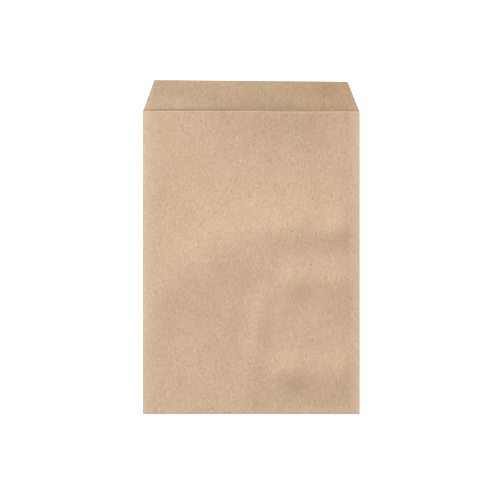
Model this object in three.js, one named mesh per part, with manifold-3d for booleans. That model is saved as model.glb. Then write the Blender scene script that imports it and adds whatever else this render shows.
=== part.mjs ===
// A flat paper bag with an open flap, lying on its back.
// One sheet of kraft paper: the back panel carries the flap, the front panel is folded up over it at the
// bottom, and two narrow side tabs of the front panel are folded round the back and glued to its outside.
// Millimetres, +Z up. X runs across the bag and +Y towards the flap. The origin lies under the middle of
// the whole outline, flap included, on the surface that the bag lies on.
import * as THREE from 'three';
import { mergeVertices } from 'three/addons/utils/BufferGeometryUtils.js';
import Module from 'manifold-3d';

// The sheet
const PAPER = 0.1; // thickness of the kraft paper
const BODY_WIDTH = 127; // side fold to side fold
const BODY_LENGTH = 177.3; // bottom fold to the mouth
const FOLD_RADIUS = 0.3; // outside radius of the soft side and bottom folds

// The flap, an open trapezoid that continues the back panel
const FLAP_LENGTH = 18; // height of its left corner above the mouth
const FLAP_OUT_OF_SQUARE = 1.2; // how much lower its right corner is: it is cut a little out of square
const FLAP_INSET_LEFT = 6.9; // how far the left corner stands in from the side fold
const FLAP_INSET_RIGHT = 7.2; // how far the right corner stands in from the side fold
const FLAP_ROOT_INSET = 0.2; // the back panel's edge stands inside the side fold
const CREASE_WIDTH = 0.6; // narrow crease at the mouth, from which the flap springs up
const CREASE_RISE = 0.2; // height gained over the crease
const TIP_LIFT_LEFT = 0.5; // the flap goes on rising to its tip, by this much at its left end
const TIP_LIFT_RIGHT = 2.3; // and by this much at its right end

// The glued tabs on the underside
const TAB_WIDTH = 12; // side fold to the tab's raw edge
const TAB_SLANT = 5; // length taken off the raw edge at each slanted end
const TAB_END_GAP = 2; // tab to the bottom fold

// The front panel stands off the back as unsealed paper does
const PANEL_LIFT = 0.3; // height that it gains between the folds and the middle
const PANEL_ROLL = 10; // distance over which it rises from the side folds
const BOTTOM_ROLL = 70; // distance over which it rises from the bottom fold
const WAVE_FADE = 10; // waves die out this close to a fold

// Soft waves of the front panel: the middle of each, its two half-lengths, the turn of the first from the X
// axis in degrees, and its height, below zero for a hollow
const PANEL_WAVES = [
  { x: 22, y: 9, along: 12, across: 9, turn: -4, height: 0.75 },
  { x: 50, y: 9, along: 10, across: 9, turn: 20, height: 1.1 },
  { x: 26, y: 14, along: 36, across: 18, turn: 2, height: 0.8 },
  { x: -27, y: -9, along: 38, across: 20, turn: 40, height: 1.6 },
  { x: 0, y: -12, along: 8, across: 18, turn: 10, height: 0.5 },
  { x: 26, y: -20, along: 11, across: 10, turn: 28, height: 1.3 },
  { x: 50, y: -22, along: 12, across: 10, turn: -44, height: 1.3 },
  { x: 14, y: -36, along: 12, across: 12, turn: 34, height: 0.6 },
  { x: 24, y: -46, along: 18, across: 26, turn: 10, height: 0.7 },
  { x: 22, y: -73, along: 11, across: 12, turn: 10, height: 2 },
  { x: 50, y: -76, along: 16, across: 12, turn: -16, height: 1.15 },
  { x: 3, y: -57, along: 6, across: 27, turn: -6, height: 1.2 },
  { x: -48, y: -52, along: 17, across: 15, turn: 0, height: -0.4 },
  { x: 12, y: 98, along: 40, across: 31, turn: -4, height: 4 },
  { x: 12, y: -4, along: 29, across: 21, turn: 0, height: 1 },
  { x: -14, y: -38, along: 14, across: 20, turn: 10, height: 0.7 },
  { x: 34, y: 96, along: 18, across: 24, turn: 0, height: 0.9 },
];

// Soft waves of the flap, written in the same way
const FLAP_WAVES = [
  { x: -43, y: 88, along: 6, across: 4, turn: 0, height: -0.35 },
  { x: -9, y: 90, along: 14, across: 8, turn: 0, height: 0.15 },
  { x: 40, y: 87, along: 16, across: 6, turn: 0, height: -0.2 },
];

// Fineness of the surfaces
const PANEL_COLUMNS = 30;
const PANEL_ROWS = 40;
const FLAP_ROWS = 5;
const FOLD_ANGLES = [15, 45, 75]; // corners of the folds' round section, in degrees from its outermost line
const CLEAR = 1; // how far a cutting solid reaches past what it cuts
const SKY = 12; // height of the space that is cleared above the flap

const HALF_WIDTH = BODY_WIDTH / 2;
const LENGTH = BODY_LENGTH + FLAP_LENGTH;
const BOTTOM = -LENGTH / 2;
const MOUTH = BOTTOM + BODY_LENGTH;
const TIP = BOTTOM + LENGTH;
const FOLD_HEIGHT = 2 * FOLD_RADIUS;
const BACK_INSIDE = 2 * PAPER; // the back panel lies on the tabs, so its inner face is two papers up

const wasm = await Module();
wasm.setup();

const radians = (degrees) => (degrees * Math.PI) / 180;
const clamp01 = (value) => Math.min(Math.max(value, 0), 1);

// Rises from 0 at a fold to 1 at the given distance from it, level at its end
const roll = (distance, reach) => Math.sin((clamp01(distance / reach) * Math.PI) / 2);

// Rises from 0 to 1, level at both ends
function ease(value) {
  const share = clamp01(value);
  return share * share * (3 - 2 * share);
}

// Sum of soft round-topped waves at a point
function waveHeight(waves, x, y) {
  let height = 0;
  for (const wave of waves) {
    const turn = radians(wave.turn);
    const along = (x - wave.x) * Math.cos(turn) + (y - wave.y) * Math.sin(turn);
    const across = (y - wave.y) * Math.cos(turn) - (x - wave.x) * Math.sin(turn);
    height += wave.height * Math.exp(-((along / wave.along) ** 2) - (across / wave.across) ** 2);
  }
  return height;
}

// Outer face of the front panel
function panelTop(x, y) {
  const toSide = HALF_WIDTH - FOLD_RADIUS - Math.abs(x);
  const toBottom = y - BOTTOM - FOLD_RADIUS;
  const lift = PANEL_LIFT * roll(toSide, PANEL_ROLL) * roll(toBottom, BOTTOM_ROLL);
  const fade = ease(toSide / WAVE_FADE) * ease(toBottom / WAVE_FADE);
  return FOLD_HEIGHT + lift + fade * waveHeight(PANEL_WAVES, x, y);
}

// Height that the flap gains over the flat back panel
function flapRise(x, y) {
  const along = clamp01((y - MOUTH) / FLAP_LENGTH);
  const across = (x + HALF_WIDTH) / BODY_WIDTH;
  const tip = TIP_LIFT_LEFT + (TIP_LIFT_RIGHT - TIP_LIFT_LEFT) * across;
  const crease = CREASE_RISE * ease((y - MOUTH) / CREASE_WIDTH);
  return crease + tip * along + 4 * along * (1 - along) * waveHeight(FLAP_WAVES, x, y);
}

// Distances of a round fold's corners from its outermost line, and half its height there, 0 to 1
const foldSteps = (radius) => FOLD_ANGLES.map((angle) => (
  radius * (Math.cos(radians(FOLD_ANGLES[0])) - Math.cos(radians(angle)))
));

function foldShare(distance, radius) {
  const inward = clamp01(Math.cos(radians(FOLD_ANGLES[0])) - distance / radius);
  return distance >= FOLD_RADIUS ? 1 : Math.sqrt(1 - inward * inward);
}

// Evenly spaced values, both ends included
function spread(from, to, count) {
  return Array.from({ length: count + 1 }, (_, i) => from + ((to - from) * i) / count);
}

const PANEL_GRID_X = spread(FOLD_RADIUS - HALF_WIDTH, HALF_WIDTH - FOLD_RADIUS, PANEL_COLUMNS);
const PANEL_GRID_Y = spread(BOTTOM + FOLD_RADIUS, MOUTH, PANEL_ROWS);

// Closed solid between two height fields over the same grid
function solidBetween(columns, rows, low, high) {
  const points = [];
  for (const y of rows) {
    for (const x of columns) {
      points.push(x, y, low(x, y), x, y, high(x, y));
    }
  }
  const corner = (i, j, level) => 2 * (j * columns.length + i) + level;
  const triangles = [];
  const quad = (a, b, c, d) => triangles.push(a, b, c, a, c, d);
  const lastColumn = columns.length - 1;
  const lastRow = rows.length - 1;
  for (let j = 0; j < lastRow; j += 1) {
    for (let i = 0; i < lastColumn; i += 1) {
      quad(corner(i, j, 1), corner(i + 1, j, 1), corner(i + 1, j + 1, 1), corner(i, j + 1, 1));
      // the same diagonal as above, so that a wall between two fields is even
      triangles.push(corner(i, j, 0), corner(i + 1, j + 1, 0), corner(i + 1, j, 0));
      triangles.push(corner(i, j, 0), corner(i, j + 1, 0), corner(i + 1, j + 1, 0));
    }
    quad(corner(0, j, 0), corner(0, j, 1), corner(0, j + 1, 1), corner(0, j + 1, 0));
    quad(corner(lastColumn, j, 0), corner(lastColumn, j + 1, 0),
      corner(lastColumn, j + 1, 1), corner(lastColumn, j, 1));
  }
  for (let i = 0; i < lastColumn; i += 1) {
    quad(corner(i, 0, 0), corner(i + 1, 0, 0), corner(i + 1, 0, 1), corner(i, 0, 1));
    quad(corner(i, lastRow, 0), corner(i, lastRow, 1),
      corner(i + 1, lastRow, 1), corner(i + 1, lastRow, 0));
  }
  const geometry = new THREE.BufferGeometry();
  geometry.setAttribute('position', new THREE.Float32BufferAttribute(points, 3));
  geometry.setIndex(triangles);
  return geometry;
}

// Upright prism over an outline, from one height to another
function prism(outline, from, to) {
  const shape = new THREE.Shape(outline.map(([x, y]) => new THREE.Vector2(x, y)));
  const geometry = new THREE.ExtrudeGeometry(shape, { depth: to - from, bevelEnabled: false });
  geometry.translate(0, 0, from);
  return geometry;
}

// A closed geometry as a solid for joining and cutting
function solid(geometry) {
  const bare = geometry.clone();
  bare.deleteAttribute('normal');
  bare.deleteAttribute('uv');
  const merged = mergeVertices(bare, 1e-5);
  const index = merged.index.array;
  const triangles = [];
  for (let i = 0; i < index.length; i += 3) {
    const [a, b, c] = index.slice(i, i + 3);
    if (a !== b && b !== c && c !== a) triangles.push(a, b, c);
  }
  return new wasm.Manifold(new wasm.Mesh({
    numProp: 3,
    vertProperties: new Float32Array(merged.attributes.position.array),
    triVerts: new Uint32Array(triangles),
  }));
}

function geometryOf(manifold) {
  const mesh = manifold.getMesh();
  const geometry = new THREE.BufferGeometry();
  geometry.setAttribute('position', new THREE.Float32BufferAttribute(mesh.vertProperties, 3));
  geometry.setIndex([...mesh.triVerts]);
  geometry.computeVertexNormals();
  return geometry;
}

// The body without the flap, shrunk inward from its outer faces and with round folds at the sides and the
// bottom. It runs past the mouth to the given Y.
function bodyForm(inset, end) {
  const radius = FOLD_RADIUS - inset;
  const steps = foldSteps(radius).map((step) => step + inset);
  const columns = [
    ...steps.map((step) => step - HALF_WIDTH),
    ...PANEL_GRID_X,
    ...steps.map((step) => HALF_WIDTH - step).reverse(),
  ];
  const rows = [...steps.map((step) => BOTTOM + step), ...PANEL_GRID_Y, end];
  const share = (x, y) => (
    foldShare(HALF_WIDTH - Math.abs(x) - inset, radius) * foldShare(y - BOTTOM - inset, radius)
  );
  const top = (x, y) => (y > MOUTH ? SKY : panelTop(x, y) - inset);
  return solidBetween(
    columns,
    rows,
    (x, y) => FOLD_RADIUS - radius * share(x, y),
    (x, y) => FOLD_RADIUS + (top(x, y) - FOLD_RADIUS) * share(x, y),
  );
}

// Everything below a face of the back panel and the flap, which is the given height over the surface
function below(height) {
  const side = HALF_WIDTH + CLEAR;
  const flapRows = [MOUTH, ...spread(MOUTH + CREASE_WIDTH, TIP, FLAP_ROWS)];
  return solidBetween(
    spread(-side, side, PANEL_COLUMNS),
    [BOTTOM - CLEAR, ...flapRows, TIP + CLEAR],
    () => -CLEAR,
    (x, y) => height + flapRise(x, y),
  );
}

// Glued tab under one side of the back panel, -1 left and 1 right
function tab(side) {
  const outer = side * (HALF_WIDTH + CLEAR);
  const inner = side * (HALF_WIDTH - TAB_WIDTH);
  const outline = [
    [outer, MOUTH],
    [inner, MOUTH - TAB_SLANT],
    [inner, BOTTOM + TAB_END_GAP + TAB_SLANT],
    [outer, BOTTOM + TAB_END_GAP],
  ];
  return prism(outline, -2 * CLEAR, PAPER + CLEAR);
}

// Plan of the whole bag: the body is left to its folds, and the flap is cut to its outline
function plan() {
  const side = HALF_WIDTH + CLEAR;
  const root = HALF_WIDTH - FLAP_ROOT_INSET;
  const outline = [
    [-side, BOTTOM - CLEAR],
    [side, BOTTOM - CLEAR],
    [side, MOUTH],
    [root, MOUTH],
    [HALF_WIDTH - FLAP_INSET_RIGHT, TIP - FLAP_OUT_OF_SQUARE],
    [FLAP_INSET_LEFT - HALF_WIDTH, TIP],
    [-root, MOUTH],
    [-side, MOUTH],
  ];
  return prism(outline, -2 * CLEAR, 2 * SKY);
}

// All the space past the mouth
function pastMouth() {
  const side = HALF_WIDTH + 2 * CLEAR;
  const end = TIP + 2 * CLEAR;
  return prism([[-side, MOUTH], [side, MOUTH], [side, end], [-side, end]], -2 * CLEAR, 2 * SKY);
}

function foldedSheet() {
  const inside = solid(bodyForm(PAPER, MOUTH + CLEAR)).add(solid(pastMouth()));
  const pocket = inside.subtract(solid(below(BACK_INSIDE)));
  const underside = solid(below(PAPER)).subtract(solid(tab(-1))).subtract(solid(tab(1)));
  const outside = solid(bodyForm(0, TIP + CLEAR)).intersect(solid(plan()));
  return geometryOf(outside.subtract(pocket).subtract(underside));
}

const KRAFT_PAPER = new THREE.MeshStandardMaterial({ color: 0xcfb295, roughness: 0.85, metalness: 0 });

const paperBag = new THREE.Mesh(foldedSheet(), KRAFT_PAPER);
paperBag.name = 'paper_bag';

const bag = new THREE.Group();
bag.add(paperBag);

export default bag;
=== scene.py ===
import math

import bpy
import numpy as np
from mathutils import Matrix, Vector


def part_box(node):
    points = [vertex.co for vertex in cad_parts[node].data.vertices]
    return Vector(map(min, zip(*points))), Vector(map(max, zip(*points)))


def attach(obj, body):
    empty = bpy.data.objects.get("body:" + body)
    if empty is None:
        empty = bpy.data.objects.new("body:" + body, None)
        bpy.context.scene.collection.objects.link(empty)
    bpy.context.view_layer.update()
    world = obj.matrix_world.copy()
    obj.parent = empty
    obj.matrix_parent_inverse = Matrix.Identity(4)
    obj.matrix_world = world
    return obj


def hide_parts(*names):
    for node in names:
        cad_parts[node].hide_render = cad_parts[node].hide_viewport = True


# A flat kraft paper bag with an open flap, lying on its back: one folded sheet of paper.
# Metres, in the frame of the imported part: X across the bag, +Y towards the flap, +Z out of the front panel.

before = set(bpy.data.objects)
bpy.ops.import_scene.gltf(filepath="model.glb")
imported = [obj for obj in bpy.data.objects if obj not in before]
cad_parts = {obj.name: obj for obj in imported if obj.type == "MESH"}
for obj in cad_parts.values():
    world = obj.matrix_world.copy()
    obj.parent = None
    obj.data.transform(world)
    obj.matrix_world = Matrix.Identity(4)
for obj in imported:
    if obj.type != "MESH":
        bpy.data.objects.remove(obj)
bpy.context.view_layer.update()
LOW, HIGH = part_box("paper_bag")

MM = 0.001
CENTRE_X = (LOW.x + HIGH.x) / 2
HALF_WIDTH = (HIGH.x - LOW.x) / 2
BOTTOM = LOW.y
TIP = HIGH.y

# The sheet
PAPER = 0.1 * MM
FOLD_RADIUS = 0.3 * MM
FOLD_HEIGHT = 2 * FOLD_RADIUS
BACK_MIDDLE = 1.5 * PAPER

# The flap
FLAP_LENGTH = 18 * MM
FLAP_OUT_OF_SQUARE = 1.2 * MM
FLAP_INSET_LEFT = 6.9 * MM
FLAP_INSET_RIGHT = 7.2 * MM
FLAP_ROOT_INSET = 0.2 * MM
CREASE_WIDTH = 0.6 * MM
CREASE_RISE = 0.2 * MM
TIP_LIFT_LEFT = 0.5 * MM
TIP_LIFT_RIGHT = 2.3 * MM
MOUTH = TIP - FLAP_LENGTH

# The glued tabs
TAB_WIDTH = 12 * MM
TAB_SLANT = 5 * MM
TAB_END_GAP = 2 * MM

# How the front panel stands off the back
PANEL_LIFT = 0.3 * MM
PANEL_ROLL = 10 * MM
BOTTOM_ROLL = 70 * MM
WAVE_FADE = 10 * MM
MOUTH_BLEND = 15 * MM
LIP_WIDTH = 0.6 * MM
LIP_DROP = 0.12 * MM

# Soft waves, in millimetres and degrees: middle X and Y, two half-lengths, turn of the first, height
PANEL_WAVES = [
    (22, 9, 12, 9, -4, 0.75),
    (50, 9, 10, 9, 20, 1.10),
    (26, 14, 36, 18, 2, 0.80),
    (-27, -9, 38, 20, 40, 1.60),
    (0, -12, 8, 18, 10, 0.50),
    (26, -20, 11, 10, 28, 1.30),
    (50, -22, 12, 10, -44, 1.30),
    (14, -36, 12, 12, 34, 0.60),
    (24, -46, 18, 26, 10, 0.70),
    (22, -73, 11, 12, 10, 2.00),
    (50, -76, 16, 12, -16, 1.15),
    (3, -57, 6, 27, -6, 1.20),
    (-48, -52, 17, 15, 0, -0.40),
    (12, 98, 40, 31, -4, 4.00),
    (12, -4, 29, 21, 0, 1.00),
    (-14, -38, 14, 20, 10, 0.70),
    (34, 96, 18, 24, 0, 0.90),
]
FLAP_WAVES = [
    (-43, 88, 6, 4, 0, -0.35),
    (-9, 90, 14, 8, 0, 0.15),
    (40, 87, 16, 6, 0, -0.20),
]

# The cut mouth strays from a straight line, in millimetres: middle X, half-length, distance along Y
MOUTH_WAVES = [
    (-50, 30, 0.05),
    (27, 36, -0.95),
]

# Fineness of the mesh
PANEL_COLUMNS = 120
PANEL_ROWS = 168
BACK_ROWS = 16
LIP_ROWS = 5
CREASE_ROWS = 6
FLAP_ROWS = 20
TAB_COLUMNS = 5
FOLD_STEPS = 8
SHARP_ANGLE = 50

# The photograph's framing, in pixels: its size, the bag's width and the middle of the whole outline
PHOTO_PIXELS = 500
WIDTH_PIXELS = 217.0
MIDDLE_PIXEL = (251.1, 246.95)

# The camera
LENS_MM = 85
SENSOR_MM = 36
NEAREST_SEEN = 0.05

# The studio: a window past the flap's end, a weak reflector past the lower left corner and an even sky.
# Each lamp has a name, a place, a width and a power.
LAMPS = [
    ("window", (-0.42, 2.52, 1.26), 0.98, 103.5),
    ("reflector", (-0.45, -0.4, 0.35), 0.3, 0.76),
]
SKY_STRENGTH = 0.35
FLOOR_DROP = 0.05 * MM
FLOOR_SIZE = 4.0
FLOOR_TONE = 0.9
FLOOR_ROUGHNESS = 0.9
FLOOR_GLOW = 0.6


def linear(red, green, blue):
    """A colour written as 0 to 255 display values, as the shader's linear ones."""
    def channel(value):
        share = value / 255
        return share / 12.92 if share <= 0.04045 else ((share + 0.055) / 1.055) ** 2.4
    return channel(red), channel(green), channel(blue), 1


# Patterns in the pulp: sizes across and along the bag, levels of detail, distortion
FIBRES = (0.5 * MM, 1.4 * MM), 3, 0.6
LONG_FIBRES = (1.2 * MM, 3 * MM), 2, 1.2
FORMATION = (4 * MM, 5 * MM), 2, 0.0
CLOUDS = (14 * MM, 17 * MM), 3, 0.0
TINT = (4 * MM, 4 * MM), 2, 0.0
NOISE_ROUGHNESS = 0.55

# Strength of each pattern: the formation sets how far the fibres stand out from patch to patch
MIDDLE_TONE = 0.5
FIBRE_STRENGTH = 2.5
FORMATION_STRENGTH = 8.0
LONG_FIBRE_STRENGTH = 1.0
CLOUD_STRENGTH = 0.6
GREEN_TINT = 0.10
BLUE_TINT = 0.02
BUMP_STRENGTH = 0.25
BUMP_HEIGHT = 0.05 * MM

# Kraft colours as seen, the pale and the dark one of each surface
OUTER_FACE = linear(222, 192, 162), linear(194, 164, 134)
INNER_FACE = linear(212, 184, 152), linear(184, 156, 125)
CUT_EDGE = linear(232, 206, 178), linear(205, 178, 150)
# Painted shade: the inner face, seen on the open flap, is darker and warmer towards the right
INNER_FACE_RIGHT_SHADE = 0.93
PAPER_ROUGHNESS = 0.85
SHINE = 0.25

# Dark specks of bark in the pulp
SPECK_SPACING = 12 * MM
SPECK_RADIUS = 0.7 * MM
SPECK_SHARE = 0.12
SPECK_STRENGTH = 0.6
SPECK_COLOUR = linear(120, 92, 68)

# Paler paper along the side folds: partly rubbed wear, partly a painted highlight where the rounded folds
# catch light
FOLD_WEAR_AND_HIGHLIGHT_WIDTH = 7 * MM
FOLD_WEAR_AND_HIGHLIGHT = 0.22
FOLD_WEAR_AND_HIGHLIGHT_COLOUR = linear(250, 226, 198)


def roll(distance, reach):
    """Rises from 0 at a fold to 1 at the given distance from it."""
    return np.sin(np.clip(distance / reach, 0, 1) * math.pi / 2)


def ease(value):
    """Rises from 0 to 1, level at both ends."""
    share = np.clip(value, 0, 1)
    return share * share * (3 - 2 * share)


def wave_height(waves, x, y):
    """Sum of soft round-topped waves."""
    height = np.zeros_like(x)
    for middle_x, middle_y, along_half, across_half, turn, rise in waves:
        angle = math.radians(turn)
        dx = x - middle_x * MM
        dy = y - middle_y * MM
        along = dx * math.cos(angle) + dy * math.sin(angle)
        across = dy * math.cos(angle) - dx * math.sin(angle)
        height += rise * MM * np.exp(-((along / (along_half * MM)) ** 2) - (across / (across_half * MM)) ** 2)
    return height


def panel_top(x, y):
    """Outer face of the front panel."""
    to_side = HALF_WIDTH - FOLD_RADIUS - np.abs(x)
    to_bottom = y - BOTTOM - FOLD_RADIUS
    lift = PANEL_LIFT * roll(to_side, PANEL_ROLL) * roll(to_bottom, BOTTOM_ROLL)
    fade = ease(to_side / WAVE_FADE) * ease(to_bottom / WAVE_FADE)
    lip = LIP_DROP * np.clip(1 - (MOUTH - y) / LIP_WIDTH, 0, 1) ** 2
    return FOLD_HEIGHT + lift + fade * wave_height(PANEL_WAVES, x, y) - lip


def mouth_line(x):
    """How far the cut mouth and the crease behind it stray from square, at a place across the bag."""
    return sum(
        rise * MM * np.exp(-((x / MM - middle) / half) ** 2) for middle, half, rise in MOUTH_WAVES
    )


def flap_rise(x, y):
    """Height that the flap gains over the flat back panel."""
    along = np.clip((y - MOUTH) / FLAP_LENGTH, 0, 1)
    across = (x + HALF_WIDTH) / (2 * HALF_WIDTH)
    tip = TIP_LIFT_LEFT + (TIP_LIFT_RIGHT - TIP_LIFT_LEFT) * across
    crease = CREASE_RISE * ease((y - MOUTH - mouth_line(x)) / CREASE_WIDTH)
    return crease + tip * along + 4 * along * (1 - along) * wave_height(FLAP_WAVES, x, y)


def front_columns():
    """The front sheet's columns, from the left raw edge to the right one, each (kind, value, side).

    A "tab" has the share of the way from its raw edge to the fold, a "fold" the angle round it and a
    "panel" its X. The side is -1 left, 1 right and 0 on the panel.
    """
    tab = [("tab", share) for share in np.linspace(0, 1, TAB_COLUMNS, endpoint=False)]
    fold = [("fold", angle) for angle in np.linspace(-90, 90, FOLD_STEPS, endpoint=False)]
    edge = HALF_WIDTH - FOLD_RADIUS
    panel = [("panel", x, 0) for x in np.linspace(-edge, edge, PANEL_COLUMNS + 1)]
    left = [(kind, value, -1) for kind, value in tab + fold]
    right = [(kind, value, 1) for kind, value in tab + fold]
    return left + panel + right[::-1]


def front_point(column, y):
    """A point of the front sheet's middle layer."""
    kind, value, side = column
    length = MOUTH - BOTTOM
    along = (y - BOTTOM - FOLD_RADIUS) / (length - FOLD_RADIUS)
    edge = HALF_WIDTH - FOLD_RADIUS
    if kind == "panel":
        height = float(panel_top(np.array(value), np.array(y))) - PAPER / 2
        shift = mouth_line(value) * ease((y - MOUTH + MOUTH_BLEND) / MOUTH_BLEND)
        return value, y + float(shift), height
    if kind == "fold":
        angle = math.radians(value)
        radius = FOLD_RADIUS - PAPER / 2
        start = BOTTOM + TAB_END_GAP * max(0.0, -value / 90)
        y = start + (MOUTH - start) * along
        return side * (edge + radius * math.cos(angle)), y, FOLD_RADIUS + radius * math.sin(angle)
    start = BOTTOM + TAB_END_GAP + TAB_SLANT * (1 - value)
    end = MOUTH - TAB_SLANT * (1 - value)
    x = edge - (TAB_WIDTH - FOLD_RADIUS) * (1 - value)
    return side * x, start + (end - start) * along, PAPER / 2


def back_point(share, y):
    """A point of the back panel's middle layer, share 0 left to 1 right."""
    edge = HALF_WIDTH - FOLD_RADIUS
    return edge * (2 * share - 1), y, BACK_MIDDLE


def flap_point(share, along):
    """A point of the flap's middle layer: share 0 left to 1 right, along 0 at the mouth to 1 at the tip."""
    root = HALF_WIDTH - FLAP_ROOT_INSET
    left_tip = FLAP_INSET_LEFT - HALF_WIDTH
    right_tip = HALF_WIDTH - FLAP_INSET_RIGHT
    root_x = root * (2 * share - 1)
    tip_x = left_tip + (right_tip - left_tip) * share
    tip_y = TIP - FLAP_OUT_OF_SQUARE * share
    x = root_x + (tip_x - root_x) * along
    y = MOUTH + (tip_y - MOUTH) * along
    return x, y, BACK_MIDDLE + float(flap_rise(np.array(x), np.array(y)))


def folded_sheet_mesh():
    """The sheet's middle layer as one grid: front sheet with tabs, bottom fold, back panel, flap."""
    points = []
    faces = []

    def add_row(row):
        first = len(points)
        points.extend(row)
        return list(range(first, first + len(row)))

    def join(lower, upper, flipped=False):
        for i in range(len(lower) - 1):
            face = (lower[i], lower[i + 1], upper[i + 1], upper[i])
            faces.append(face[::-1] if flipped else face)

    columns = front_columns()
    start = BOTTOM + FOLD_RADIUS
    lip_rows = np.linspace(MOUTH - LIP_WIDTH, MOUTH, LIP_ROWS + 1)[1:]
    front_rows = [
        add_row([front_point(column, y) for column in columns])
        for y in np.append(np.linspace(start, MOUTH - LIP_WIDTH, PANEL_ROWS), lip_rows)
    ]
    for lower, upper in zip(front_rows, front_rows[1:]):
        join(lower, upper)

    first_panel = TAB_COLUMNS + FOLD_STEPS
    panel_row = front_rows[0][first_panel:first_panel + PANEL_COLUMNS + 1]
    panel_x = [points[i][0] for i in panel_row]
    radius = FOLD_RADIUS - PAPER / 2
    top = FOLD_HEIGHT - PAPER / 2
    previous = panel_row
    for angle in np.linspace(90, -90, FOLD_STEPS + 1)[1:]:
        turn = math.radians(angle)
        y = start - radius * math.cos(turn)
        z = (top + BACK_MIDDLE) / 2 + (top - BACK_MIDDLE) / 2 * math.sin(turn)
        row = add_row([(x, y, z) for x in panel_x])
        join(previous, row, flipped=True)
        previous = row

    shares = np.linspace(0, 1, PANEL_COLUMNS + 1)
    for y in np.linspace(start, MOUTH, BACK_ROWS + 1)[1:-1]:
        row = add_row([back_point(share, y) for share in shares])
        join(previous, row, flipped=True)
        previous = row
    crease = CREASE_WIDTH / FLAP_LENGTH
    crease_rows = np.linspace(0, crease, CREASE_ROWS, endpoint=False)
    for along in np.append(crease_rows, np.linspace(crease, 1, FLAP_ROWS + 1)):
        row = add_row([flap_point(share, along) for share in shares])
        join(previous, row, flipped=True)
        previous = row

    mesh = bpy.data.meshes.new("folded_sheet")
    mesh.from_pydata([(x + CENTRE_X, y, z) for x, y, z in points], [], faces)
    mesh.update()
    return mesh


def give_thickness(piece):
    """Turns the middle layer into paper with an outer face, an inner face and cut edges."""
    solidify = piece.modifiers.new("paper thickness", "SOLIDIFY")
    solidify.thickness = PAPER
    solidify.offset = 0
    solidify.use_even_offset = True
    solidify.use_rim = True
    solidify.material_offset = 1
    solidify.material_offset_rim = 2
    graph = bpy.context.evaluated_depsgraph_get()
    mesh = bpy.data.meshes.new_from_object(piece.evaluated_get(graph))
    piece.modifiers.clear()
    piece.data = mesh
    mesh.shade_smooth()
    mesh.set_sharp_from_angle(angle=math.radians(SHARP_ANGLE))


def new_material(name, roughness):
    """A dull material, with its tree and its shader."""
    material = bpy.data.materials.new(name)
    material.use_nodes = True
    shader = material.node_tree.nodes["Principled BSDF"]
    shader.inputs["Roughness"].default_value = roughness
    shader.inputs["Specular IOR Level"].default_value = SHINE
    return material, material.node_tree, shader


def math_node(tree, operation, a, b=0.0, c=0.0):
    """One step of arithmetic between numbers and sockets."""
    node = tree.nodes.new("ShaderNodeMath")
    node.operation = operation
    for socket, value in zip(node.inputs, (a, b, c)):
        if isinstance(value, (int, float)):
            socket.default_value = value
        else:
            tree.links.new(value, socket)
    return node.outputs[0]


def pulp_noise(tree, place, label, size, detail, distortion):
    """Soft noise between about -0.5 and 0.5, of the given size across and along the bag."""
    mapping = tree.nodes.new("ShaderNodeMapping")
    mapping.inputs["Scale"].default_value = (1 / size[0], 1 / size[1], 1 / size[0])
    texture = tree.nodes.new("ShaderNodeTexNoise")
    texture.label = label
    texture.inputs["Scale"].default_value = 1
    texture.inputs["Detail"].default_value = detail
    texture.inputs["Roughness"].default_value = NOISE_ROUGHNESS
    texture.inputs["Distortion"].default_value = distortion
    tree.links.new(place, mapping.inputs["Vector"])
    tree.links.new(mapping.outputs["Vector"], texture.inputs["Vector"])
    return math_node(tree, "SUBTRACT", texture.outputs["Fac"], 0.5)


def specks(tree, place):
    """1 at a few dark specks of bark in the pulp, 0 elsewhere."""
    cells = tree.nodes.new("ShaderNodeTexVoronoi")
    cells.voronoi_dimensions = "2D"
    cells.inputs["Scale"].default_value = 1 / SPECK_SPACING
    tree.links.new(place, cells.inputs["Vector"])
    pick = tree.nodes.new("ShaderNodeSeparateColor")
    tree.links.new(cells.outputs["Color"], pick.inputs["Color"])
    chosen = math_node(tree, "GREATER_THAN", pick.outputs["Red"], 1 - SPECK_SHARE)
    nearness = math_node(tree, "MULTIPLY_ADD", cells.outputs["Distance"], -SPECK_SPACING / SPECK_RADIUS, 1.0)
    return math_node(tree, "MULTIPLY", math_node(tree, "MAXIMUM", nearness, 0.0), chosen)


def mix_colour(tree, blend, factor, a, b):
    """Blends two colours, each a socket or a fixed colour."""
    node = tree.nodes.new("ShaderNodeMix")
    node.data_type = "RGBA"
    node.blend_type = blend
    for name, value in (("Factor", factor), ("A", a), ("B", b)):
        if isinstance(value, (int, float, tuple)):
            node.inputs[name].default_value = value
        else:
            tree.links.new(value, node.inputs[name])
    return node.outputs["Result"]


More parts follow.
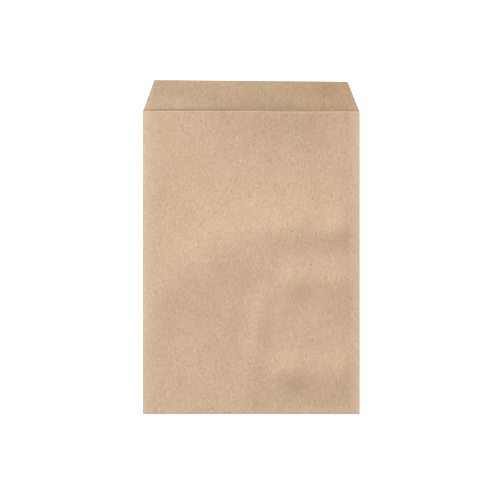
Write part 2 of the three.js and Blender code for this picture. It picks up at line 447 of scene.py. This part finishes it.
def kraft_material(name, pale, dark, fold_wear_and_highlight, right_painted_shade):
    """Kraft paper: short fibres along the bag, cloudy pulp, a few specks and paler side folds, partly rubbed
    wear and partly a painted highlight.
    """
    material, tree, shader = new_material(name, PAPER_ROUGHNESS)
    place = tree.nodes.new("ShaderNodeTexCoord").outputs["Object"]

    fibre = pulp_noise(tree, place, "fibres", *FIBRES)
    long_fibre = pulp_noise(tree, place, "long fibres", *LONG_FIBRES)
    formation = pulp_noise(tree, place, "formation", *FORMATION)
    cloud = pulp_noise(tree, place, "cloudy pulp", *CLOUDS)
    strength = math_node(tree, "MULTIPLY_ADD", formation, FORMATION_STRENGTH, FIBRE_STRENGTH)
    tone = math_node(tree, "MULTIPLY_ADD", fibre, strength, MIDDLE_TONE)
    tone = math_node(tree, "MULTIPLY_ADD", long_fibre, LONG_FIBRE_STRENGTH, tone)
    tone = math_node(tree, "MULTIPLY_ADD", cloud, CLOUD_STRENGTH, tone)
    pulp = mix_colour(tree, "MIX", tone, dark, pale)
    bark = math_node(tree, "MULTIPLY", specks(tree, place), SPECK_STRENGTH)
    pulp = mix_colour(tree, "MIX", bark, pulp, SPECK_COLOUR)

    split = tree.nodes.new("ShaderNodeSeparateXYZ")
    tree.links.new(place, split.inputs["Vector"])
    across = math_node(tree, "SUBTRACT", split.outputs["X"], CENTRE_X)
    # Painted highlight mixed with rubbed wear: the paper turns paler towards each side fold
    from_start = math_node(tree, "SUBTRACT", math_node(tree, "ABSOLUTE", across), HALF_WIDTH - FOLD_WEAR_AND_HIGHLIGHT_WIDTH)
    fold_wear_and_highlight_mask = math_node(tree, "MULTIPLY", math_node(tree, "MAXIMUM", from_start, 0.0), fold_wear_and_highlight / FOLD_WEAR_AND_HIGHLIGHT_WIDTH)
    pulp = mix_colour(tree, "MIX", fold_wear_and_highlight_mask, pulp, FOLD_WEAR_AND_HIGHLIGHT_COLOUR)

    # The inner face gets a painted shade, darker and warmer towards the right across the open flap, and every
    # face is greener or redder from patch to patch
    tint = pulp_noise(tree, place, "pulp tint", *TINT)
    # Painted shade: green and blue drop below 1 towards the right and rise above 1 towards the left
    painted_shade_factor = math_node(tree, "MULTIPLY_ADD", across, (right_painted_shade - 1) / HALF_WIDTH, 1.0)
    green = math_node(tree, "MULTIPLY_ADD", tint, GREEN_TINT, math_node(tree, "SQRT", painted_shade_factor))
    blue = math_node(tree, "MULTIPLY_ADD", tint, BLUE_TINT, painted_shade_factor)
    balance = tree.nodes.new("ShaderNodeCombineColor")
    balance.inputs["Red"].default_value = 1
    tree.links.new(green, balance.inputs["Green"])
    tree.links.new(blue, balance.inputs["Blue"])
    pulp = mix_colour(tree, "MULTIPLY", 1.0, pulp, balance.outputs["Color"])
    tree.links.new(pulp, shader.inputs["Base Color"])

    bump = tree.nodes.new("ShaderNodeBump")
    bump.inputs["Strength"].default_value = BUMP_STRENGTH
    bump.inputs["Distance"].default_value = BUMP_HEIGHT
    tree.links.new(fibre, bump.inputs["Height"])
    tree.links.new(bump.outputs["Normal"], shader.inputs["Normal"])
    return material


def make_bag():
    """The folded bag, in its paper."""
    piece = bpy.data.objects.new("folded_bag", folded_sheet_mesh())
    bpy.context.scene.collection.objects.link(piece)
    # Both faces get the paler side folds, partly rubbed wear and partly a painted highlight
    outer = kraft_material("kraft outer face", *OUTER_FACE, FOLD_WEAR_AND_HIGHLIGHT, 1)
    # The inner face also gets a painted shade, darker and warmer towards the right
    inner = kraft_material("kraft inner face", *INNER_FACE, FOLD_WEAR_AND_HIGHLIGHT, INNER_FACE_RIGHT_SHADE)
    edge = kraft_material("kraft cut edge", *CUT_EDGE, 0, 1)
    for material in (outer, inner, edge):
        piece.data.materials.append(material)
    give_thickness(piece)
    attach(piece, "root")
    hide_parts("paper_bag")
    return piece


def seen_directly(tree):
    """1 for the camera and in mirrors and glass, 0 for light that reaches the object."""
    rays = tree.nodes.new("ShaderNodeLightPath")
    mirrored = math_node(tree, "MAXIMUM", rays.outputs["Is Glossy Ray"], rays.outputs["Is Transmission Ray"])
    return math_node(tree, "MAXIMUM", rays.outputs["Is Camera Ray"], mirrored)


def make_floor():
    """White floor, a hair below the bag's underside so that the two never flicker."""
    half = FLOOR_SIZE / 2
    corners = [(-half, -half), (half, -half), (half, half), (-half, half)]
    mesh = bpy.data.meshes.new("floor")
    mesh.from_pydata([(x, y, -FLOOR_DROP) for x, y in corners], [], [(0, 1, 2, 3)])
    floor = bpy.data.objects.new("floor", mesh)
    bpy.context.scene.collection.objects.link(floor)
    material, tree, shader = new_material("white floor", FLOOR_ROUGHNESS)
    shader.inputs["Base Color"].default_value = (FLOOR_TONE, FLOOR_TONE, FLOOR_TONE, 1)
    shader.inputs["Emission Color"].default_value = (1, 1, 1, 1)
    glow = math_node(tree, "MULTIPLY", seen_directly(tree), FLOOR_GLOW)
    tree.links.new(glow, shader.inputs["Emission Strength"])
    mesh.materials.append(material)


def make_lights():
    """The lamps, and a sky that looks white but lights the bag more softly."""
    scene = bpy.context.scene
    world = bpy.data.worlds.new("studio")
    world.use_nodes = True
    tree = world.node_tree
    background = tree.nodes["Background"]
    background.inputs["Color"].default_value = (1, 1, 1, 1)
    strength = math_node(tree, "MULTIPLY_ADD", seen_directly(tree), 1 - SKY_STRENGTH, SKY_STRENGTH)
    tree.links.new(strength, background.inputs["Strength"])
    scene.world = world

    for name, place, size, power in LAMPS:
        light = bpy.data.lights.new(name, "AREA")
        light.shape = "DISK"
        light.size = size
        light.energy = power
        lamp = bpy.data.objects.new(name, light)
        scene.collection.objects.link(lamp)
        lamp.location = place
        lamp.rotation_euler = (-lamp.location).to_track_quat("-Z", "Y").to_euler()


def make_camera():
    """Looks straight down, with the bag as large and as far from the middle as in the photograph."""
    pixel = 2 * HALF_WIDTH / WIDTH_PIXELS
    middle = PHOTO_PIXELS / 2
    camera = bpy.data.cameras.new("camera")
    camera.lens = LENS_MM
    camera.sensor_width = SENSOR_MM
    camera.clip_start = NEAREST_SEEN
    distance = PHOTO_PIXELS * pixel * LENS_MM / SENSOR_MM
    eye = bpy.data.objects.new("camera", camera)
    eye.location = (
        CENTRE_X + (middle - MIDDLE_PIXEL[0]) * pixel,
        (BOTTOM + TIP) / 2 + (MIDDLE_PIXEL[1] - middle) * pixel,
        distance,
    )
    bpy.context.scene.collection.objects.link(eye)
    bpy.context.scene.camera = eye


make_bag()
make_floor()
make_lights()
make_camera()
bpy.context.scene.view_settings.view_transform = "Standard"
